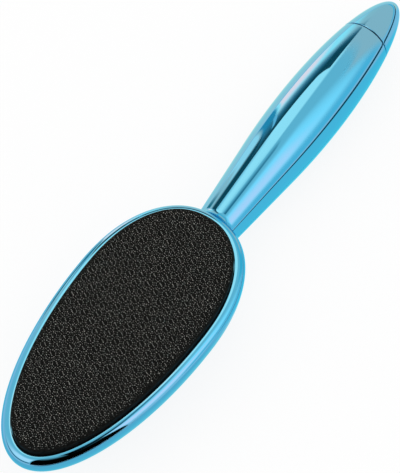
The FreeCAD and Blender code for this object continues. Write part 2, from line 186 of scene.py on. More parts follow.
def loft(name, rings, first, last):
    """A closed solid through rings of equal count, closed at both ends by a fan to a pole."""
    count = len(rings[0])
    points = [first] + [p for ring in rings for p in ring] + [last]
    faces = []
    for i in range(count):
        j = (i + 1) % count
        faces.append((0, 1 + j, 1 + i))
        for row in range(len(rings) - 1):
            low = 1 + row * count
            high = 1 + (row + 1) * count
            faces.append((low + i, low + j, high + j, high + i))
        top = 1 + (len(rings) - 1) * count
        faces.append((top + i, top + j, len(points) - 1))
    return mesh_object(name, points, faces)


def keep_normals(piece):
    """Store a smooth primitive's corner normals, so that they survive the cutting."""
    mesh = piece.data
    for face in mesh.polygons:
        face.use_smooth = True
    mesh.set_sharp_from_angle(angle=SMOOTH_ANGLE)
    normals = np.zeros(3 * len(mesh.loops), np.float32)
    mesh.corner_normals.foreach_get("vector", normals)
    store = mesh.attributes.new("kept_normal", "FLOAT_VECTOR", "CORNER")
    store.data.foreach_set("vector", normals)
    return piece


def use_kept_normals(piece):
    """Shade a cut mesh with the normals of the primitives that its faces came from."""
    mesh = piece.data
    kept = np.zeros(3 * len(mesh.loops), np.float32)
    mesh.attributes["kept_normal"].data.foreach_get("vector", kept)
    kept = kept.reshape(-1, 3)
    for face in mesh.polygons:
        face.use_smooth = True
        normal = np.array(face.normal)
        for loop in face.loop_indices:
            along = float(kept[loop] @ normal)
            if abs(along) < KEPT_NORMAL_COSINE:
                kept[loop] = normal
            elif along < 0:
                kept[loop] = -kept[loop]
    mesh.attributes.remove(mesh.attributes["kept_normal"])
    if "sharp_edge" in mesh.attributes:
        mesh.attributes.remove(mesh.attributes["sharp_edge"])
    mesh.normals_split_custom_set([tuple(n) for n in kept])
    return piece


def cut(base, tool, operation):
    """Join, cut or intersect two closed meshes; the tool is used up."""
    change = base.modifiers.new("cut", "BOOLEAN")
    change.operation = operation
    change.solver = "MANIFOLD"
    change.object = tool
    graph = bpy.context.evaluated_depsgraph_get()
    mesh = bpy.data.meshes.new_from_object(base.evaluated_get(graph))
    base.modifiers.clear()
    old = base.data
    base.data = mesh
    bpy.data.meshes.remove(old)
    bpy.data.objects.remove(tool)
    return base


def block(name, low, high):
    """A block much wider than the part, between two levels."""
    half = BLOCK_HALF
    square = ((-half, -half), (half, -half), (half, half), (-half, half))
    points = [(x, y, z) for z in (low, high) for x, y in square]
    faces = [(0, 1, 2, 3), (4, 5, 6, 7), (0, 1, 5, 4), (1, 2, 6, 5), (2, 3, 7, 6), (3, 0, 4, 7)]
    return keep_normals(mesh_object(name, points, faces))


# Profiles of the head


def signed_power(value, power):
    return math.copysign(abs(value) ** power, value)


def egg_half(turn):
    """Reach and power of the half of the outline that a turn lies in."""
    return (HEAD_FRONT, FRONT_POWER) if math.cos(turn) < 0 else (HEAD_BACK, BACK_POWER)


def egg(inset=0.0, scale=1.0, level=0.0):
    """The head's outline at a level: a long half ellipse and a squarer back half of its width."""
    ring = []
    for i in range(EGG_STEPS):
        turn = 2 * math.pi * i / EGG_STEPS
        reach, power = egg_half(turn)
        x = (reach - inset) * signed_power(math.cos(turn), 2 / power)
        y = (HEAD_HALF - inset) * signed_power(math.sin(turn), 2 / power)
        ring.append((x * scale, y * scale, level))
    return ring


def rim_ring(angle):
    """The rim's round at an angle up from its widest level: offset square to the outline."""
    ring = []
    inward = RIM_RADIUS * (1 - math.cos(angle))
    level = EQUATOR + RIM_RADIUS * math.sin(angle)
    for i, (x, y, _) in enumerate(egg()):
        turn = 2 * math.pi * i / EGG_STEPS
        reach, power = egg_half(turn)
        along = signed_power(math.cos(turn), 2 - 2 / power) / reach
        across = signed_power(math.sin(turn), 2 - 2 / power) / HEAD_HALF
        square = Vector((along, across)).normalized()
        ring.append((x - square.x * inward, y - square.y * inward, level))
    return ring


def bowl_rings(low, high, inset, count):
    """Rings of the bowl between two levels, drawn in by a wall."""
    depth = BOWL_DEPTH - inset
    first = math.asin((EQUATOR - low) / depth)
    last = math.asin((EQUATOR - high) / depth)
    angles = spread(first, last, count)
    return [egg(inset, math.cos(a), EQUATOR - depth * math.sin(a)) for a in angles]


# Profiles of the handle


def sweep_tangent():
    """Where the straight neck runs into the sweep: its station and radius."""
    centre = Vector((BELLY_REACH, BELLY_RADIUS - SWEEP_RADIUS))
    root = Vector((NECK_ROOT_REACH, NECK_ROOT_RADIUS)) - centre
    angle = math.atan2(root.y, root.x) - math.acos(SWEEP_RADIUS / root.length)
    return centre + Vector((math.cos(angle), math.sin(angle))) * SWEEP_RADIUS


SWEEP_START = sweep_tangent()


def handle_radius(x):
    """The handle's radius at a station: straight neck, long sweep, half an ellipse."""
    if x > BELLY_REACH:
        return BELLY_RADIUS * math.sqrt(max(0.0, 1 - ((x - BELLY_REACH) / NOSE_LENGTH) ** 2))
    if x > SWEEP_START.x:
        return BELLY_RADIUS - SWEEP_RADIUS + math.sqrt(SWEEP_RADIUS**2 - (x - BELLY_REACH) ** 2)
    slope = (SWEEP_START.y - NECK_ROOT_RADIUS) / (SWEEP_START.x - NECK_ROOT_REACH)
    return NECK_ROOT_RADIUS + slope * (x - NECK_ROOT_REACH)


def around_axis(x, radius, turn):
    """A point of the handle at a station, a radius and a turn about its axis."""
    return (x, radius * math.cos(turn), AXIS_LEVEL + radius * math.sin(turn))


def ring_at(x, radius):
    """A ring about the handle's axis."""
    return [around_axis(x, radius, turn) for turn in HANDLE_TURNS]


def wall_station(turn, radius):
    """Where the head's back wall lies along a line at a turn and radius about the handle's axis."""
    _, y, z = around_axis(0.0, radius, turn)
    shrink = math.sqrt(1 - ((EQUATOR - z) / BOWL_DEPTH) ** 2)
    across = abs(y) / HEAD_HALF / shrink
    return HEAD_BACK * shrink * (1 - across**BACK_POWER) ** (1 / BACK_POWER)


def neck_profile(turn):
    """The head's wall at one turn, with stations and radii of the round between it and the neck."""
    x = HEAD_BACK
    for _ in range(WALL_SOLVE_STEPS):
        x = wall_station(turn, handle_radius(x))
    radius = handle_radius(x)
    lean = wall_station(turn, radius + WALL_PROBE) - wall_station(turn, radius - WALL_PROBE)
    corner = math.atan2(1.0, lean)
    on_top = max(0.0, math.sin(turn))
    fillet = NECK_FILLET_SIDE + (NECK_FILLET_TOP - NECK_FILLET_SIDE) * on_top
    sweep = min((math.pi - corner) * NECK_FILLET_SHARE, NECK_FILLET_SWEEP)
    start = x + lean * fillet * (1 - math.cos(sweep)) - NECK_FOOT_SINK
    arc = []
    for a in spread(sweep, 0.0, FILLET_ROWS):
        station = start + fillet * (math.sin(sweep) - math.sin(a))
        arc.append((station, handle_radius(station) + fillet * (1 - math.cos(a))))
    return x, arc


def edge_lean(x):
    """How far the handle's surface leans towards the tip at a station, in radians."""
    rise = handle_radius(x + LEAN_PROBE) - handle_radius(x - LEAN_PROBE)
    return math.atan(-rise / (2 * LEAN_PROBE))


def seam_edge(station, last_angle, count):
    """Stations and radii of the small round beside the seam, from the outside to an angle."""
    lean = edge_lean(station)
    centre = handle_radius(station) - SEAM_EDGE_RADIUS / math.cos(lean)
    edge = []
    for a in spread(math.pi / 2 - lean, last_angle, count):
        x = station + SEAM_EDGE_RADIUS * math.cos(a)
        edge.append((x, centre + SEAM_EDGE_RADIUS * math.sin(a)))
    return edge


# Pieces of the plated shell


def head_solid():
    """The whole head from the outside, with the recess for the plate."""
    rings = bowl_rings(0.0, EQUATOR, 0.0, BOWL_ROWS)
    rings += [rim_ring(a) for a in spread(RIM_FIRST_ANGLE, math.pi / 2, RIM_ROWS)]
    for a in spread(0.0, math.pi / 2, LIP_ROWS):
        inset = RIM_WIDTH - LIP_EDGE_RADIUS * (1 - math.sin(a))
        rings.append(egg(inset, 1.0, LIP - LIP_EDGE_RADIUS * (1 - math.cos(a))))
    rings.append(egg(RIM_WIDTH, 1.0, TRAY_TOP))
    return keep_normals(loft("head", rings, (HEAD_POLE, 0, 0), (HEAD_POLE, 0, TRAY_TOP)))


def handle_solid():
    """The whole handle from the outside, rounded into the head and at the seam."""
    necks = [neck_profile(turn) for turn in HANDLE_TURNS]
    end_ring = []
    for turn, (wall, _) in zip(HANDLE_TURNS, necks):
        radius = handle_radius(wall) * NECK_END_SHARE
        end_ring.append(around_axis(wall - NECK_END_SINK, radius, turn))
    rings = [end_ring]
    for row in range(FILLET_ROWS):
        rings.append([around_axis(*arc[row], turn) for turn, (_, arc) in zip(HANDLE_TURNS, necks)])
    for share in spread(0.0, 1.0, NECK_ROWS)[1:]:
        ring = []
        for turn, (_, arc) in zip(HANDLE_TURNS, necks):
            start = arc[-1][0]
            x = start + (NECK_END - start) * share**NECK_ROW_POWER
            ring.append(around_axis(x, handle_radius(x), turn))
        rings.append(ring)
    edge_station = SEAM - SEAM_EDGE_RADIUS
    for x in spread(NECK_END, edge_station, HANDLE_ROWS)[1:-1]:
        rings.append(ring_at(x, handle_radius(x)))
    rings += [ring_at(x, r) for x, r in seam_edge(edge_station, 0.0, SEAM_ROWS)]
    return keep_normals(loft("handle", rings, (HANDLE_POLE, 0, AXIS_LEVEL), (SEAM, 0, AXIS_LEVEL)))


def head_cavity():
    rings = bowl_rings(SHELL_WALL, TRAY_UNDERSIDE, SHELL_WALL, CAVITY_ROWS)
    ends = [(HEAD_POLE, 0, level) for level in (SHELL_WALL, TRAY_UNDERSIDE)]
    return keep_normals(loft("cavity", rings, *ends))


def handle_cavity():
    """The handle's hollow, the plug's bore and the groove for its flange, in one turned solid."""
    stations = spread(NECK_ROOT_REACH, BULKHEAD, HOLLOW_ROWS)
    profile = [(x, handle_radius(x) - SHELL_WALL) for x in stations]
    profile += [(BULKHEAD, PLUG_BORE), (FLANGE_START, PLUG_BORE)]
    profile += [(FLANGE_START, FLANGE_BORE), (FLANGE_END, FLANGE_BORE)]
    profile += [(FLANGE_END, PLUG_BORE), (SEAM + BORE_OVERRUN, PLUG_BORE)]
    rings = [ring_at(x, r) for x, r in profile]
    ends = [(x, 0, AXIS_LEVEL) for x in (profile[0][0], profile[-1][0])]
    return keep_normals(loft("bore", rings, *ends))


def make_shells():
    """The upper and lower shells: one hollow body, parted level with the handle's axis."""
    upper = cut(head_solid(), handle_solid(), "UNION")
    upper = cut(upper, head_cavity(), "DIFFERENCE")
    upper = cut(upper, handle_cavity(), "DIFFERENCE")
    upper.name = "upper_shell_plated"
    lower = new_object("lower_shell_plated", upper.data.copy())
    upper = cut(upper, block("above", AXIS_LEVEL + PARTING_HALF, BLOCK_TOP), "INTERSECT")
    lower = cut(lower, block("below", BLOCK_BOTTOM, AXIS_LEVEL - PARTING_HALF), "INTERSECT")
    return use_kept_normals(upper), use_kept_normals(lower)


def make_tip_cap():
    """The tip: an ellipse's end turned round, with a rounded seam edge and the sleeve's bore."""
    edge_station = CAP_START + SEAM_EDGE_RADIUS
    last = math.acos((edge_station - BELLY_REACH) / NOSE_LENGTH)
    profile = []
    for i in range(1, CAP_ROWS):
        angle = last * (i / CAP_ROWS)
        x = BELLY_REACH + NOSE_LENGTH * math.cos(angle)
        profile.append((x, BELLY_RADIUS * math.sin(angle)))
    profile += seam_edge(edge_station, math.pi, CAP_SEAM_ROWS)
    profile += [(CAP_START, CAP_BORE), (CAP_BORE_END, CAP_BORE)]
    rings = [ring_at(x, r) for x, r in profile]
    ends = [(x, 0, AXIS_LEVEL) for x in (TIP, CAP_BORE_END)]
    return use_kept_normals(keep_normals(loft("tip_cap_plated", rings, *ends)))


# File plate


def make_plate():
    """The plate: egg-shaped, with a rounded top edge."""
    edge_start = PLATE_TOP - PLATE_EDGE_RADIUS
    sides = spread(PLATE_BOTTOM, edge_start, PLATE_SIDE_ROWS)
    rings = [egg(PLATE_INSET, 1.0, level) for level in sides]
    for a in spread(0.0, math.pi / 2, PLATE_EDGE_ROWS)[1:]:
        inset = PLATE_INSET + PLATE_EDGE_RADIUS * (1 - math.cos(a))
        rings.append(egg(inset, 1.0, PLATE_TOP - PLATE_EDGE_RADIUS * (1 - math.sin(a))))
    ends = [(HEAD_POLE, 0, level) for level in (PLATE_BOTTOM, PLATE_TOP)]
    return use_kept_normals(keep_normals(loft("file_plate_body", rings, *ends)))


# Rasp pattern on the plate: rings of small teeth in slanted rows, each with a short bar in its
# middle, a dimmer ring of teeth around it where there is room, and fine grit over all
RING_CENTRE = Vector((2.34, 5.99))
RING_STEP = Vector((4.15, 0.02))
ROW_STEP = Vector((1.974, 4.107))
RING_ROWS = range(-10, 9)
RING_COLUMNS = range(-30, 26)
RING_RADIUS = 1.7
RING_TEETH = 12
BAR_TEETH = 3
BAR_STEP = 0.66
BAR_TURN = math.radians(60)
FILL_RADIUS = 2.3
FILL_TEETH = 14
# the least distance of a tooth of the dimmer ring from the middle of the next ring
FILL_CLEAR = 2.1
GRIT_COUNT = 6500

# Teeth: length, width and height of each kind
RING_TOOTH = (0.38, 0.34, 0.22)
FILL_TOOTH = (0.3, 0.24, 0.2)
BAR_TOOTH = (0.42, 0.34, 0.26)
GRIT_TOOTH = (0.27, 0.23, 0.14)
# least and most wear of each kind, where 1 is worn bright; the bright teeth are painted glints
# as well as wear, and every other tooth of a ring is brighter, a painted glint
RING_WEAR_AND_GLINT = ((0.6, 0.95), (0.3, 0.65))
FILL_WEAR_AND_GLINT = (0.0, 0.35)
BAR_WEAR_AND_GLINT = (0.35, 0.9)
GRIT_WEAR_AND_GLINT = (0.1, 0.6)
EDGE_SHADED_GLINT = (0.0, 0.2)
# how near the plate's rounded edge teeth may stand, and how near it they may glint; nearer the
# edge they are painted dark, a painted shade along the edge
TOOTH_MARGIN = -0.45
GLINT_MARGIN = 0.5
# how deep the teeth are rooted in the plate, so that those on its rounded edge stand on it too
TOOTH_ROOT = 0.12
# how teeth differ: by turn in radians, by size, and by the lean of the crest along and across
TURN_SPREAD = 0.25
SIZE_RANGE = (0.85, 1.15)
LEAN_RANGE = (-0.3, 0.35)
SIDE_SPREAD = 0.25
# half the crest's length and the height of its lower end, as shares of the tooth's
CREST_HALF = 0.2
CREST_END_RANGE = (0.7, 1.0)
# a tooth stands on a unit square and rises to a crest of two points
TOOTH_BASE = ((-0.5, -0.5, 0), (0.5, -0.5, 0), (0.5, 0.5, 0), (-0.5, 0.5, 0))
TOOTH_FACES = ((3, 2, 1, 0), (0, 1, 5, 4), (1, 2, 5), (2, 3, 4, 5), (3, 0, 4))
TOOTH_SEED = 11


def inside_plate(x, y, margin):
    """Whether a place on the plate's flat top keeps a margin from its rounded edge."""
    inset = PLATE_INSET + PLATE_EDGE_RADIUS + margin
    reach, power = (HEAD_FRONT, FRONT_POWER) if x < 0 else (HEAD_BACK, BACK_POWER)
    return abs(x / (reach - inset)) ** power + abs(y / (HEAD_HALF - inset)) ** power < 1


def unit_vector(turn):
    return Vector((math.cos(turn), math.sin(turn)))


class ToothField:
    """Gathers small leaning teeth, each with its own share of wear and painted glint, into one
    mesh.
    """

    def __init__(self, seed):
        self.draw = random.Random(seed)
        self.points = []
        self.faces = []
        self.wear_and_glint = []

    def add(self, spot, turn, form, wear_and_glint):
        """Add a tooth at a place on the plate, if it has room there."""
        x, y = spot
        if not inside_plate(x, y, TOOTH_MARGIN):
            return
        # near the edge the teeth are painted dark: painted shade
        if not inside_plate(x, y, GLINT_MARGIN):
            wear_and_glint = EDGE_SHADED_GLINT
        draw = self.draw
        turn += draw.uniform(-TURN_SPREAD, TURN_SPREAD)
        size = draw.uniform(*SIZE_RANGE)
        lean = draw.uniform(*LEAN_RANGE)
        side = draw.uniform(-SIDE_SPREAD, SIDE_SPREAD)
        crest_end = draw.uniform(*CREST_END_RANGE)
        crest = ((lean - CREST_HALF, side, 1), (lean + CREST_HALF, side, crest_end))
        length, width, height = form
        c = math.cos(turn)
        s = math.sin(turn)
        root = PLATE_TOP - TOOTH_ROOT
        base = len(self.points)
        for along, across, up in TOOTH_BASE + crest:
            dx = along * length * size
            dy = across * width * size
            level = root + up * (height * size + TOOTH_ROOT)
            self.points.append((x + c * dx - s * dy, y + s * dx + c * dy, level))
        for face in TOOTH_FACES:
            self.faces.append(tuple(base + i for i in face))
        # each tooth's share of wear, which also paints its glint
        self.wear_and_glint += [draw.uniform(*wear_and_glint)] * len(TOOTH_FACES)

    def build(self, name):
        piece = mesh_object(name, self.points, self.faces)
        store = piece.data.attributes.new("wear_and_glint", "FLOAT", "FACE")
        store.data.foreach_set("value", self.wear_and_glint)
        return piece


def add_ring(field, centre):
    for i in range(RING_TEETH):
        turn = 2 * math.pi * (i + 0.5) / RING_TEETH
        spot = centre + RING_RADIUS * unit_vector(turn)
        # every other tooth of a ring gets the brighter range: a painted glint
        field.add(spot, turn + math.pi / 2, RING_TOOTH, RING_WEAR_AND_GLINT[i % 2])


def add_fill(field, centre, neighbours):
    for i in range(FILL_TEETH):
        turn = 2 * math.pi * i / FILL_TEETH
        off = FILL_RADIUS * unit_vector(turn)
        if all((off - other).length > FILL_CLEAR for other in neighbours):
            field.add(centre + off, turn, FILL_TOOTH, FILL_WEAR_AND_GLINT)


def add_bar(field, centre):
    for i in range(BAR_TEETH):
        off = (i - (BAR_TEETH - 1) / 2) * BAR_STEP
        field.add(centre + off * unit_vector(BAR_TURN), BAR_TURN, BAR_TOOTH, BAR_WEAR_AND_GLINT)


def make_teeth():
    """Rings, bars and scattered fine grit over the plate's top."""
    field = ToothField(TOOTH_SEED)
    steps = (RING_STEP, ROW_STEP, ROW_STEP - RING_STEP)
    neighbours = [step * side for step in steps for side in (-1, 1)]
    for row in RING_ROWS:
        for column in RING_COLUMNS:
            centre = RING_CENTRE + RING_STEP * column + ROW_STEP * row
            add_ring(field, centre)
            add_fill(field, centre, neighbours)
            add_bar(field, centre)
    for _ in range(GRIT_COUNT):
        x = field.draw.uniform(-HEAD_FRONT, HEAD_BACK)
        y = field.draw.uniform(-HEAD_HALF, HEAD_HALF)
        turn = field.draw.uniform(0, math.tau)
        field.add((x, y), turn, GRIT_TOOTH, GRIT_WEAR_AND_GLINT)
    return field.build("file_plate_teeth")


# Materials

# a mix node's colour sockets go by number: two colours in, one out
MIX_LOW = 6
MIX_HIGH = 7
MIX_RESULT = 2
# the part of a noise's values that is spread out over a range
NOISE_LOW = 0.3
NOISE_HIGH = 0.7
# how far the grain of the inner pieces changes their colour and roughness
GRAIN_TONES = (0.9, 1.06)
GRAIN_ROUGHNESS = (0.85, 1.15)


def new_material(name):
    material = bpy.data.materials.new(name)
    material.use_nodes = True
    tree = material.node_tree
    return material, tree.nodes, tree.links, tree.nodes["Principled BSDF"]


def add_noise(nodes, links, scale, detail):
    coords = nodes.new("ShaderNodeTexCoord")
    noise = nodes.new("ShaderNodeTexNoise")
    noise.inputs["Scale"].default_value = scale
    noise.inputs["Detail"].default_value = detail
    links.new(coords.outputs["Object"], noise.inputs["Vector"])
    return noise.outputs["Fac"]


def mapped(nodes, links, noise, low, high):
    """A noise spread out over the range from low to high."""
    span = nodes.new("ShaderNodeMapRange")
    span.inputs["From Min"].default_value = NOISE_LOW
    span.inputs["From Max"].default_value = NOISE_HIGH
    span.inputs["To Min"].default_value = low
    span.inputs["To Max"].default_value = high
    links.new(noise, span.inputs["Value"])
    return span.outputs["Result"]


def mixed_colour(nodes, links, share, low, high):
    tone = nodes.new("ShaderNodeMix")
    tone.data_type = "RGBA"
    tone.inputs[MIX_LOW].default_value = (*low, 1)
    tone.inputs[MIX_HIGH].default_value = (*high, 1)
    links.new(share, tone.inputs["Factor"])
    return tone.outputs[MIX_RESULT]


def add_bump(nodes, links, shader, height, strength, distance):
    bump = nodes.new("ShaderNodeBump")
    bump.inputs["Strength"].default_value = strength
    bump.inputs["Distance"].default_value = distance
    links.new(height, bump.inputs["Height"])
    links.new(bump.outputs["Normal"], shader.inputs["Normal"])


def plated_material():
    """Electroplated blue under a thin clear coat: a tinted mirror, faintly uneven."""
    material, nodes, links, shader = new_material("plated_blue")
    shader.inputs["Base Color"].default_value = (0.163, 0.455, 0.695, 1)
    shader.inputs["Specular Tint"].default_value = (0.55, 0.93, 1.0, 1)
    shader.inputs["Metallic"].default_value = 1.0
    shader.inputs["Coat Weight"].default_value = 0.05
    shader.inputs["Coat Roughness"].default_value = 0.03
    smear = add_noise(nodes, links, scale=60, detail=4)
    links.new(mapped(nodes, links, smear, low=0.03, high=0.05), shader.inputs["Roughness"])
    return material


def plate_material():
    """Black plate with a fine grit in its tone, gloss and relief."""
    material, nodes, links, shader = new_material("plate_black")
    grit = add_noise(nodes, links, scale=1400, detail=2)
    share = mapped(nodes, links, grit, low=0, high=1)
    tone = mixed_colour(
        nodes, links, share, low=(0.0015, 0.0015, 0.0015), high=(0.010, 0.010, 0.0095)
    )
    links.new(tone, shader.inputs["Base Color"])
    shader.inputs["Specular IOR Level"].default_value = 0.03
    links.new(mapped(nodes, links, grit, low=0.35, high=0.55), shader.inputs["Roughness"])
    add_bump(nodes, links, shader, grit, strength=0.3, distance=0.0002)
    return material


def teeth_material():
    """Coated teeth: most stay dark; the worn ones are painted near white, a painted glint on their
    wear.
    """
    material, nodes, links, shader = new_material("plate_teeth")
    wear_and_glint_node = nodes.new("ShaderNodeAttribute")
    wear_and_glint_node.attribute_name = "wear_and_glint"
    share = wear_and_glint_node.outputs["Fac"]
    # dark coating up to near white for the worn teeth; the near white is a painted glint
    tone = mixed_colour(nodes, links, share, low=(0.03, 0.03, 0.028), high=(1.0, 0.975, 0.92))
    links.new(tone, shader.inputs["Base Color"])
    shader.inputs["Metallic"].default_value = 0.6
    grit = add_noise(nodes, links, scale=900, detail=2)
    links.new(mapped(nodes, links, grit, low=0.3, high=0.5), shader.inputs["Roughness"])
    return material


def plain_material(name, colour, roughness, metallic=0.0):
    """A moulded or machined surface, with a fine grain in its colour, gloss and relief."""
    material, nodes, links, shader = new_material(name)
    grain = add_noise(nodes, links, scale=400, detail=3)
    share = mapped(nodes, links, grain, low=0, high=1)
    dark, light = ([tone * c for c in colour] for tone in GRAIN_TONES)
    links.new(mixed_colour(nodes, links, share, dark, light), shader.inputs["Base Color"])
    shader.inputs["Metallic"].default_value = metallic
    smooth, rough = (roughness * change for change in GRAIN_ROUGHNESS)
    links.new(mapped(nodes, links, grain, smooth, rough), shader.inputs["Roughness"])
    add_bump(nodes, links, shader, grain, strength=0.1, distance=0.0001)
    return material


# Camera: placed and turned as in the photograph
VIEW_TURN = math.radians(55.621)
VIEW_TILT = math.radians(31.367)
VIEW_SHIFT_RIGHT = -19.985
VIEW_SHIFT_AHEAD = -27.071
VIEW_DISTANCE = 874.583
VIEW_LEVEL = 25.6
FOCAL_PIXELS = 2340
IMAGE_HEIGHT = 473
SENSOR = 36.0
# nearest distance that the camera sees, in metres
CLIP_START = 0.01

VIEW_RIGHT = Vector((math.cos(VIEW_TURN), -math.sin(VIEW_TURN), 0))
VIEW_AHEAD = Vector((math.sin(VIEW_TURN), math.cos(VIEW_TURN), 0))
VIEW_UP = VIEW_AHEAD * math.cos(VIEW_TILT) + Z_UP * math.sin(VIEW_TILT)
VIEW_BACK = -VIEW_AHEAD * math.sin(VIEW_TILT) + Z_UP * math.cos(VIEW_TILT)


def make_camera():
    camera = new_object("camera", bpy.data.cameras.new("camera"))
    target = -VIEW_RIGHT * VIEW_SHIFT_RIGHT - VIEW_AHEAD * VIEW_SHIFT_AHEAD + Z_UP * VIEW_LEVEL
    camera.matrix_world = Matrix((VIEW_RIGHT, VIEW_UP, VIEW_BACK)).transposed().to_4x4()
    camera.location = (target + VIEW_BACK * VIEW_DISTANCE) * MM
    camera.data.lens = FOCAL_PIXELS * SENSOR / IMAGE_HEIGHT
    camera.data.sensor_width = SENSOR
    camera.data.clip_start = CLIP_START
    bpy.context.scene.camera = camera


# Studio: white surroundings, with soft boxes and dark flags that only the gloss sees. Its distances
# are in metres, and those of the strips on the floor in millimetres.
STUDIO_CENTRE = Vector((0.07, 0, 0.02))
CARD_COLUMNS = 32
CARD_ROWS = 16
# a card's edge fades over this share at least, so that no ramp has a length of zero
LEAST_SOFT = 1e-3
# each ramp ends this much further on
RAMP_OVERRUN = 1e-4
# stands in for a black card's strength, which can't be divided by
LEAST_STRENGTH = 1e-6
FLOOR_HALF = 6.0
# share of the floor's white that is glow; the rest takes the part's shadow
FLOOR_GLOW = 0.86


def studio_direction(azimuth, elevation):
    """A direction by degrees round from straight ahead of the camera, and above the floor."""
    a = math.radians(azimuth)
    e = math.radians(elevation)
    level = VIEW_AHEAD * math.cos(a) + VIEW_RIGHT * math.sin(a)
    return level * math.cos(e) + Z_UP * math.sin(e)


def card_mask(nodes, links, soft):
    """1 in the middle of a card, fading to 0 over the soft shares (left, right, low, high)."""
    coords = nodes.new("ShaderNodeTexCoord")
    split = nodes.new("ShaderNodeSeparateXYZ")
    links.new(coords.outputs["UV"], split.inputs["Vector"])
    left, right, low, high = (max(share, LEAST_SOFT) for share in soft)
    mask = None
    edges = (("X", 0, left), ("X", 1, 1 - right), ("Y", 0, low), ("Y", 1, 1 - high))
    for axis, start, end in edges:
        ramp = nodes.new("ShaderNodeMapRange")
        ramp.interpolation_type = "SMOOTHSTEP"
        ramp.inputs["From Min"].default_value = min(start, end)
        ramp.inputs["From Max"].default_value = max(start, end) + RAMP_OVERRUN
        ramp.inputs["To Min"].default_value = 0.0 if start <= end else 1.0
        ramp.inputs["To Max"].default_value = 1.0 if start <= end else 0.0
        links.new(split.outputs[axis], ramp.inputs["Value"])
        if mask is None:
            mask = ramp.outputs["Result"]
            continue
        product = nodes.new("ShaderNodeMath")
        product.operation = "MULTIPLY"
        links.new(mask, product.inputs[0])
        links.new(ramp.outputs["Result"], product.inputs[1])
        mask = product.outputs[0]
    return mask


def card_material(name, light, soft):
    """Glow that fades out to clear near the card's edges."""
    material = bpy.data.materials.new(name)
    material.use_nodes = True
    nodes = material.node_tree.nodes
    links = material.node_tree.links
    nodes.clear()
    strength = max(light)
    glow = nodes.new("ShaderNodeEmission")
    glow.inputs["Color"].default_value = (*(c / max(strength, LEAST_STRENGTH) for c in light), 1)
    glow.inputs["Strength"].default_value = strength
    clear = nodes.new("ShaderNodeBsdfTransparent")
    mix = nodes.new("ShaderNodeMixShader")
    links.new(card_mask(nodes, links, soft), mix.inputs["Fac"])
    links.new(clear.outputs[0], mix.inputs[1])
    links.new(glow.outputs[0], mix.inputs[2])
    output = nodes.new("ShaderNodeOutputMaterial")
    links.new(mix.outputs[0], output.inputs["Surface"])
    return material


def card_object(name, place, light, soft):
    """A card from a function of its two shares, seen by gloss alone."""
    mesh = bpy.data.meshes.new(name)
    shares = []
    for j in range(CARD_ROWS + 1):
        shares += [(i / CARD_COLUMNS, j / CARD_ROWS) for i in range(CARD_COLUMNS + 1)]
    faces = []
    for j in range(CARD_ROWS):
        for i in range(CARD_COLUMNS):
            k = j * (CARD_COLUMNS + 1) + i
            faces.append((k, k + 1, k + CARD_COLUMNS + 2, k + CARD_COLUMNS + 1))
    mesh.from_pydata([place(u, v) for u, v in shares], [], faces)
    layer = mesh.uv_layers.new(name="card")
    for loop in mesh.loops:
        layer.data[loop.index].uv = shares[loop.vertex_index]
    mesh.materials.append(card_material(name, light, soft))
    card = new_object(name, mesh)
    card.visible_camera = False
    card.visible_diffuse = False
    card.visible_shadow = False


def make_card(name, corners, light, soft, radius):
    """A curved card at a radius in metres; corners are (azimuth, elevation) from low left round."""
    low_left, low_right, high_right, high_left = (Vector(c) for c in corners)

    def place(u, v):
        spot = low_left.lerp(low_right, u).lerp(high_left.lerp(high_right, u), v)
        return STUDIO_CENTRE + studio_direction(*spot) * radius

    card_object(name, place, light, soft)


def make_floor_strip(name, start, end, width, light, soft, level):
    """A strip just above the floor: from start to end, and to the right of that by a width."""
    start = Vector((*start, level))
    end = Vector((*end, level))
    outward = (end - start).cross(Z_UP).normalized()

    def place(u, v):
        return (start.lerp(end, u) + outward * width * v) * MM

    card_object(name, place, light, soft)


def make_world():
    world = bpy.data.worlds.new("studio")
    bpy.context.scene.world = world
    world.use_nodes = True
    back = world.node_tree.nodes["Background"]
    back.inputs["Color"].default_value = (1, 1, 1, 1)
    back.inputs["Strength"].default_value = 1.0


def make_floor():
    half = FLOOR_HALF
    mesh = bpy.data.meshes.new("floor")
    points = [(-half, -half, 0), (half, -half, 0), (half, half, 0), (-half, half, 0)]
    mesh.from_pydata(points, [], [(0, 1, 2, 3)])
    floor = new_object("floor", mesh)
    material, nodes, links, shader = new_material("floor_white")
    shader.inputs["Base Color"].default_value = (0.97, 0.97, 0.97, 1)
    shader.inputs["Roughness"].default_value = 0.9
    shader.inputs["Specular IOR Level"].default_value = 0.0
    glow = nodes.new("ShaderNodeEmission")
    mix = nodes.new("ShaderNodeMixShader")
    mix.inputs["Fac"].default_value = FLOOR_GLOW
    links.new(shader.outputs[0], mix.inputs[1])
    links.new(glow.outputs[0], mix.inputs[2])
    links.new(mix.outputs[0], nodes["Material Output"].inputs["Surface"])
    mesh.materials.append(material)


# Assembly


def dress(piece, material, body, slot, *nodes):
    piece.data.materials.clear()
    piece.data.materials.append(material)
    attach(piece, body)
    if nodes:
        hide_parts(*nodes)


plated = plated_material()
upper, lower = make_shells()
dress(upper, plated, "file", "plated_shell", "upper_shell")
dress(lower, plated, "file", "plated_shell", "lower_shell")
dress(make_tip_cap(), plated, "tip", "plated_shell", "tip_cap")
dress(make_plate(), plate_material(), "file", "file_plate", "file_plate")
dress(make_teeth(), teeth_material(), "file", "file_plate")

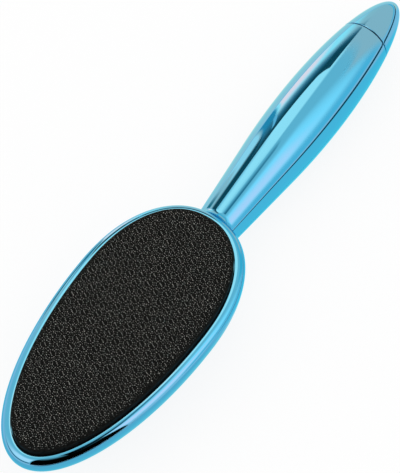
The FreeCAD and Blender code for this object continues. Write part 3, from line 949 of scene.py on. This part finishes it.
for node, material in {
    "plate_tape": plain_material("tape_foam", (0.75, 0.74, 0.70), 0.7),
    "shell_screws": plain_material("screw_steel", (0.55, 0.55, 0.56), 0.3, 1.0),
    "end_plug": plain_material("plug_plastic", (0.78, 0.79, 0.78), 0.4),
    "cap_liner": plain_material("liner_plastic", (0.78, 0.79, 0.78), 0.4),
    "plug_ring": plain_material("ring_rubber", (0.03, 0.03, 0.03), 0.6),
}.items():
    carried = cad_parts[node]
    carried.data.materials.clear()
    carried.data.materials.append(material)

make_camera()
make_world()
make_floor()

# Cards, by the part of the gloss that mirrors them. Those at a radius under 0.4 m stand close to
# the part, so that the handle and the rim see them in different directions.
BLACK = (0, 0, 0)
TEAL = (0.015, 0.11, 0.12)
FAR = 3.4
MIDDLE = 3.0
NEAR = 2.6

# a pale dome all round, with haze behind the part and close to the tip, and bluer air on the right
make_card(
    "dome", [(-180, 2), (180, 2), (180, 90), (-180, 90)],
    light=(0.6, 0.95, 0.9), soft=(0, 0, 0.3, 0), radius=FAR,
)
make_card(
    "haze_back", [(-44, -6), (50, -6), (68, 53), (-44, 53)],
    light=(1.2, 1.0, 0.82), soft=(0.1, 0.35, 0.1, 0.38), radius=3.2,
)
make_card(
    "blue_right", [(14, -10), (72, -10), (72, 46), (14, 46)],
    light=(0.2, 0.86, 0.9), soft=(0.1, 0.2, 0.1, 0.12), radius=3.1,
)
make_card(
    "haze_tip", [(20, 0), (64, 0), (64, 32), (20, 32)],
    light=(1.18, 0.96, 0.8), soft=(0.1, 0.25, 0.05, 0.25), radius=0.15,
)

# a dark patch on the rim's left side, the light stripe along the handle, and thin lines on the lip
make_card(
    "rim_dark", [(-62, -6), (-38, -6), (-38, 20), (-62, 20)],
    light=(0.02, 0.3, 0.3), soft=(0.3, 0.1, 0.2, 0.3), radius=0.3,
)
make_card(
    "box_back", [(-31, 40), (16, 40), (34, 80), (-34, 80)],
    light=(1.5, 1.6, 1.32), soft=(0.2, 0.2, 0.03, 0.3), radius=MIDDLE,
)
make_card(
    "lip_light", [(-88, 70), (-14, 72), (-14, 80), (-88, 80)],
    light=(3.2, 2.0, 1.45), soft=(0.1, 0.3, 0.1, 0.1), radius=0.3,
)

# soft boxes on the right, the lowest one bluer, and on the left
make_card(
    "box_right", [(60, 2), (126, 2), (126, 68), (60, 68)],
    light=(0.95, 1.5, 1.42), soft=(0.5, 0.02, 0.45, 0.2), radius=MIDDLE,
)
make_card(
    "box_right_core", [(88, 18), (126, 8), (126, 64), (88, 64)],
    light=(2.4, 1.4, 1.36), soft=(0.6, 0.05, 0.4, 0.4), radius=2.9,
)
make_card(
    "low_right", [(55, -10), (112, -10), (112, 26), (55, 26)],
    light=(0.36, 0.95, 1.0), soft=(0.4, 0.1, 0.1, 0.5), radius=2.85,
)
make_card(
    "box_left", [(-157, 24), (-65, 18), (-65, 76), (-157, 76)],
    light=(1.9, 1.5, 1.35), soft=(0.04, 0.5, 0.15, 0.3), radius=MIDDLE,
)

# the glints on the handle's left side, and the darker bars between them
make_card(
    "low_left_halo", [(-32, -18), (0, -18), (-2, 34), (-32, 34)],
    light=(1.3, 1.6, 1.32), soft=(0.05, 0.45, 0.2, 0.35), radius=2.95,
)
make_card(
    "box_low_left", [(-28.5, -12), (-15, -12), (-15, 26), (-28.5, 26)],
    light=(4.2, 1.5, 1.15), soft=(0.05, 0.5, 0.4, 0.5), radius=2.9,
)
make_card(
    "bar_light", [(-35.5, -12), (-33, -12), (-33, 35), (-35.5, 35)],
    light=(1.4, 1.4, 1.2), soft=(0.2, 0.2, 0.1, 0.2), radius=2.8,
)
make_card(
    "bar_dark", [(-33, -10), (-28.6, -10), (-28.6, 40), (-33, 40)],
    light=(0.08, 0.5, 0.6), soft=(0.2, 0.2, 0.1, 0.1), radius=2.8,
)
make_card(
    "bar_gap", [(-26.7, 18), (-24.5, 18), (-22, 40), (-23.8, 40)],
    light=(0.5, 0.9, 0.95), soft=(0.2, 0.2, 0.3, 0.2), radius=0.29,
)

# dark flags: on the camera's side, overhead, for the neck, and low on the left
make_card(
    "flag_camera", [(126, -18), (203, -4), (203, 99), (126, 80)],
    light=BLACK, soft=(0.01, 0.03, 0.15, 0.35), radius=NEAR,
)
make_card(
    "flag_overhead", [(25, 70), (140, 66), (140, 79), (25, 76)],
    light=(0.05, 0.3, 0.35), soft=(0.4, 0.1, 0.3, 0.3), radius=NEAR,
)
make_card(
    "flag_zenith", [(90, 66), (150, 48), (150, 86), (90, 80)],
    light=BLACK, soft=(0.4, 0.02, 0.2, 0.2), radius=NEAR,
)
make_card(
    "flag_border", [(-42, 22), (-29.5, 22), (-29.5, 49), (-42, 52)],
    light=TEAL, soft=(0.2, 0.05, 0.4, 0.05), radius=0.3,
)
make_card(
    "flag_low_left", [(-158, 8), (-70, 6), (-70, 22), (-158, 26)],
    light=(0.05, 0.25, 0.3), soft=(0.05, 0.4, 0.4, 0.4), radius=NEAR,
)

# the dark stripe along the handle: a soft lower part, and two halves that meet in a notch
make_card(
    "flag_back_low", [(-32, 14), (16, 15), (15, 35), (-36, 43)],
    light=(0.1, 0.3, 0.34), soft=(0.1, 0.05, 0.7, 0.1), radius=0.32,
)
make_card(
    "flag_back_left", [(-29, 30), (1, 26), (0.2, 39.5), (-36, 51)],
    light=TEAL, soft=(0.08, 0.0, 0.7, 0.04), radius=0.31,
)
make_card(
    "flag_back_right", [(0.8, 22), (16, 21.5), (14.6, 43.6), (0, 39.4)],
    light=TEAL, soft=(0.0, 0.06, 0.6, 0.03), radius=0.31,
)

# tinted floor around the head, on both sides of the handle and beyond the tip
make_floor_strip(
    "floor_head", (-260, 120), (36, 120), width=300,
    light=(0.45, 0.86, 0.88), soft=(0.1, 0.1, 0.1, 0.1), level=0.2,
)
make_floor_strip(
    "floor_handle", (20, -4), (190, -4), width=140,
    light=(0.34, 0.98, 1.0), soft=(0.1, 0.1, 0.05, 0.1), level=0.3,
)
make_floor_strip(
    "floor_far", (460, 4), (40, 4), width=360,
    light=(1.5, 1.15, 0.95), soft=(0.1, 0.1, 0.05, 0.1), level=0.3,
)
make_floor_strip(
    "floor_tip", (460, -90), (194, -10), width=110,
    light=(1.7, 1.15, 0.85), soft=(0.1, 0.1, 0.1, 0.1), level=0.25,
)

# dark floor in front of the head, and the dark band that the handle's right side mirrors
make_floor_strip(
    "flag_floor_front", (-240, -30), (20, -250), width=400,
    light=BLACK, soft=(0.05, 0.05, 0.08, 0.1), level=0.4,
)
make_floor_strip(
    "flag_floor", (40, -165), (420, 49), width=150,
    light=TEAL, soft=(0.1, 0.1, 0.06, 0.3), level=0.4,
)

bpy.context.scene.view_settings.view_transform = "Standard"
